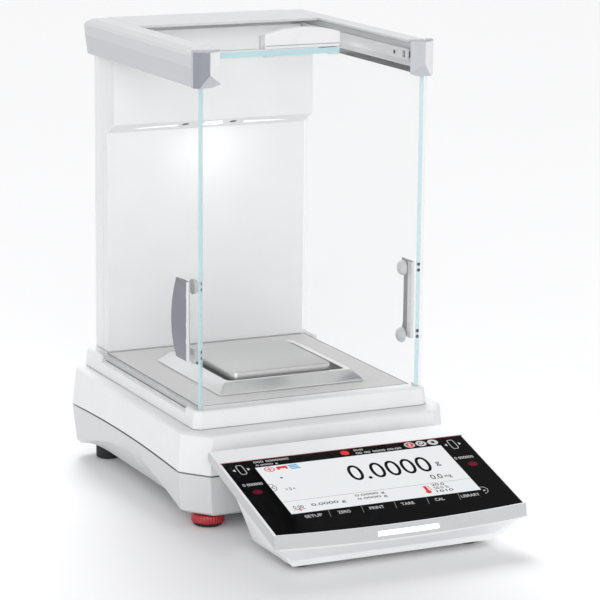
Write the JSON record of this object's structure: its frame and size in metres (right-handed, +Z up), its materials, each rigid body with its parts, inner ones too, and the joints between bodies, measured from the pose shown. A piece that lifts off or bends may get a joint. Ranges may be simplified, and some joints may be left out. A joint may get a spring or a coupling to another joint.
{
  "type": "analytical balance",
  "caption": "Laboratory analytical balance with a glass draft shield, sliding doors, levelling feet and a touch terminal.",
  "frame": {"origin": "on the bench, under the middle of the whole object's box", "axes": "+Z up, -Y towards the user (terminal side), +X to the user's right"},
  "size_m": [0.23, 0.395, 0.38],
  "materials": {
    "housing_white": "satin moulded plastic, near white",
    "housing_grey": "satin moulded plastic, pale grey",
    "cap_grey": "silver grey lacquer",
    "handle_grey": "satin slate grey",
    "stainless": "brushed stainless steel",
    "aluminium": "milled",
    "brass": "turned",
    "copper": "enamelled copper winding",
    "dark_steel": "blackened steel",
    "glass": "clear float glass with polished edges",
    "lens_clear": "frosted light guide",
    "grip_white": "polished white",
    "screen_black": "black printed cover glass",
    "board_green": "solder mask",
    "foot_red": "satin red",
    "rubber_black": "matt",
    "plastic_black": "matt"
  },
  "bodies": {
    "root": {"upper_housing": "housing_white", "lower_housing": "housing_grey", "plinth": "housing_white", "chassis_plate": "aluminium", "main_board": "board_green", "power_inlet": "plastic_black", "serial_port": "plastic_black", "left_rear_foot": "rubber_black", "right_rear_foot": "rubber_black", "load_cell_frame": "aluminium", "load_receiver": "aluminium", "balance_lever": "aluminium", "magnet_pot": "dark_steel", "force_coil": "copper", "calibration_motor": "dark_steel", "column_shell": "housing_white", "light_lens": "lens_clear", "left_ionizer": "plastic_black", "right_ionizer": "plastic_black", "column_back_cover": "housing_white", "column_head": "housing_white", "column_cap": "housing_white", "left_rail": "housing_white", "right_rail": "housing_white", "left_end_cap": "cap_grey", "right_end_cap": "cap_grey", "left_door_motor": "dark_steel", "right_door_motor": "dark_steel", "front_pane": "glass", "terminal_bracket": "dark_steel"},
    "left_door": {"left_door_glass": "glass", "left_door_handle": "handle_grey", "left_door_carriage": "dark_steel"},
    "right_door": {"right_door_glass": "glass", "right_door_handle": "handle_grey", "right_door_carriage": "dark_steel"},
    "left_pinion": {"left_drive_pinion": "brass"},
    "right_pinion": {"right_drive_pinion": "brass"},
    "top_door": {"top_door_glass": "glass", "top_door_handle": "grip_white"},
    "floor": {"floor_plate": "stainless"},
    "ring": {"draft_ring": "stainless"},
    "pan": {"weighing_pan": "stainless", "pan_support": "aluminium"},
    "left_foot": {"left_foot_pad": "rubber_black"},
    "left_wheel": {"left_foot_wheel": "foot_red"},
    "right_foot": {"right_foot_pad": "rubber_black"},
    "right_wheel": {"right_foot_wheel": "foot_red"},
    "weights": {"weight_carrier": "aluminium", "left_calibration_weight": "stainless", "right_calibration_weight": "stainless"},
    "screw": {"lead_screw": "brass"},
    "hook_cover": {"weigh_below_cover": "plastic_black"},
    "terminal": {"terminal_upper_shell": "housing_white", "terminal_lower_shell": "housing_grey", "terminal_touch_glass": "screen_black", "terminal_display": "screen_black", "terminal_light_bar": "lens_clear", "terminal_left_foot": "rubber_black", "terminal_right_foot": "rubber_black"}
  },
  "joints": [
    {"name": "left_door_slide", "type": "slide", "parent": "root", "child": "left_door", "axis": [0, 1, 0], "range_m": [0, 0.15]},
    {"name": "right_door_slide", "type": "slide", "parent": "root", "child": "right_door", "axis": [0, 1, 0], "range_m": [0, 0.15]},
    {"name": "left_pinion_turn", "type": "hinge", "parent": "root", "child": "left_pinion", "pos_m": [-0.0839, 0.1655, 0.344], "axis": [0, 0, 1], "range_deg": [-1725, 0]},
    {"name": "right_pinion_turn", "type": "hinge", "parent": "root", "child": "right_pinion", "pos_m": [0.0839, 0.1655, 0.344], "axis": [0, 0, 1], "range_deg": [0, 1725]},
    {"name": "top_door_slide", "type": "slide", "parent": "root", "child": "top_door", "axis": [0, 1, 0], "range_m": [0, 0.15]},
    {"name": "floor_plate_lift", "type": "slide", "parent": "root", "child": "floor", "axis": [0, 0, 1], "range_m": [0, 0.03]},
    {"name": "draft_ring_lift", "type": "slide", "parent": "floor", "child": "ring", "axis": [0, 0, 1], "range_m": [0, 0.04]},
    {"name": "pan_lift", "type": "slide", "parent": "floor", "child": "pan", "axis": [0, 0, 1], "range_m": [0, 0.05]},
    {"name": "left_foot_level", "type": "slide", "parent": "root", "child": "left_foot", "axis": [0, 0, -1], "range_m": [0, 0.006]},
    {"name": "left_wheel_turn", "type": "hinge", "parent": "left_foot", "child": "left_wheel", "pos_m": [-0.091, -0.0415, 0], "axis": [0, 0, 1], "range_deg": [0, 1730]},
    {"name": "right_foot_level", "type": "slide", "parent": "root", "child": "right_foot", "axis": [0, 0, -1], "range_m": [0, 0.006]},
    {"name": "right_wheel_turn", "type": "hinge", "parent": "right_foot", "child": "right_wheel", "pos_m": [0.091, -0.0415, 0], "axis": [0, 0, 1], "range_deg": [0, 1730]},
    {"name": "weight_lift", "type": "slide", "parent": "root", "child": "weights", "axis": [0, 0, 1], "range_m": [0, 0.004]},
    {"name": "screw_turn", "type": "hinge", "parent": "root", "child": "screw", "pos_m": [0.052, 0.0621, 0.026], "axis": [0, 0, 1], "range_deg": [0, 721]},
    {"name": "hook_cover_swing", "type": "hinge", "parent": "root", "child": "hook_cover", "pos_m": [0.016, 0.0621, 0.009], "axis": [0, 0, 1], "range_deg": [0, 95]},
    {"name": "terminal_pull", "type": "slide", "parent": "root", "child": "terminal", "axis": [0, -1, 0], "range_m": [0, 0.06]}
  ],
  "couplings": [
    {"joint": "left_pinion_turn", "follows": "left_door_slide", "rad_per_m": -200},
    {"joint": "right_pinion_turn", "follows": "right_door_slide", "rad_per_m": 200},
    {"joint": "left_wheel_turn", "follows": "left_foot_level", "rad_per_m": 5000},
    {"joint": "right_wheel_turn", "follows": "right_foot_level", "rad_per_m": 5000},
    {"joint": "screw_turn", "follows": "weight_lift", "rad_per_m": 3141.6}
  ]
}
